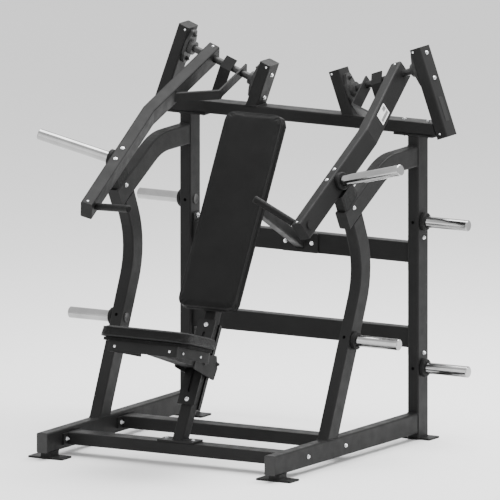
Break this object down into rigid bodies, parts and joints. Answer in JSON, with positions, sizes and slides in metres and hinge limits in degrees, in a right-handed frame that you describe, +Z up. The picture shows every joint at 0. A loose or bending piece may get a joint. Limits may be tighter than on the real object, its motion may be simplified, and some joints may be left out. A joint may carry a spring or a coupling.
{
  "type": "chest press machine",
  "caption": "Plate-loaded incline chest press: welded tube frame, converging press arms on tilted shafts, leaning back pad, sliding seat and chrome weight pegs.",
  "frame": {"origin": "bottom centre of the whole machine's bounding box, on the floor", "axes": "+Z up; X across the machine, its plane of symmetry at X = 0; the seated user faces -Y and the rear uprights are towards +Y"},
  "size_m": [1.7538, 1.4221, 1.663],
  "materials": {
    "frame_paint": "satin charcoal powder coat",
    "dark_steel": "dark painted castings and blackened steel",
    "black_steel": "satin black coat",
    "chrome": "polished chrome plate",
    "black_rubber": "matt moulded rubber",
    "black_vinyl": "matt grained vinyl upholstery",
    "board": "dark plywood backing board"
  },
  "bodies": {
    "frame": {"back_board": "board", "back_pad": "black_vinyl", "front_base_beam": "frame_paint", "left_base_rail": "frame_paint", "left_bumper": "black_rubber", "left_front_collar": "black_rubber", "left_front_foot": "frame_paint", "left_front_peg": "chrome", "left_inner_bearing": "dark_steel", "left_inner_post": "frame_paint", "left_lower_collar": "black_rubber", "left_lower_peg": "chrome", "left_outer_bearing": "dark_steel", "left_outer_post": "frame_paint", "left_strut": "frame_paint", "left_upper_collar": "black_rubber", "left_upper_peg": "chrome", "left_upper_tube": "frame_paint", "left_upright": "frame_paint", "low_rear_beam": "frame_paint", "mid_rear_beam": "frame_paint", "rear_base_beam": "frame_paint", "right_base_rail": "frame_paint", "right_bumper": "black_rubber", "right_front_collar": "black_rubber", "right_front_foot": "frame_paint", "right_front_peg": "chrome", "right_inner_bearing": "dark_steel", "right_inner_post": "frame_paint", "right_lower_collar": "black_rubber", "right_lower_peg": "chrome", "right_outer_bearing": "dark_steel", "right_outer_post": "frame_paint", "right_strut": "frame_paint", "right_upper_collar": "black_rubber", "right_upper_peg": "chrome", "right_upper_tube": "frame_paint", "right_upright": "frame_paint", "seat_rack": "black_steel", "slotted_plate": "black_steel", "spine_brace": "frame_paint", "spine_tube": "frame_paint", "top_crossbeam": "frame_paint"},
    "left_arm": {"left_press_arm": "frame_paint", "left_grip": "black_rubber", "left_pivot_shaft": "dark_steel", "left_brace": "frame_paint", "left_counter_lever": "frame_paint", "left_arm_peg": "chrome", "left_arm_collar": "black_rubber"},
    "right_arm": {"right_press_arm": "frame_paint", "right_grip": "black_rubber", "right_pivot_shaft": "dark_steel", "right_brace": "frame_paint", "right_counter_lever": "frame_paint", "right_arm_peg": "chrome", "right_arm_collar": "black_rubber"},
    "seat": {"seat_carriage": "frame_paint", "seat_board": "board", "seat_pad": "black_vinyl"}
  },
  "joints": [
    {"name": "left_arm_hinge", "type": "hinge", "parent": "frame", "child": "left_arm", "pos_m": [-0.3913, 0.658, 1.5045], "axis": [-0.9397, 0, 0.342], "range_deg": [0, 38]},
    {"name": "right_arm_hinge", "type": "hinge", "parent": "frame", "child": "right_arm", "pos_m": [0.3913, 0.658, 1.5045], "axis": [-0.9397, 0, -0.342], "range_deg": [0, 38]},
    {"name": "seat_height", "type": "slide", "parent": "frame", "child": "seat", "axis": [0, 0.4848, 0.8746], "range_m": [-0.12, 0.12]}
  ]
}
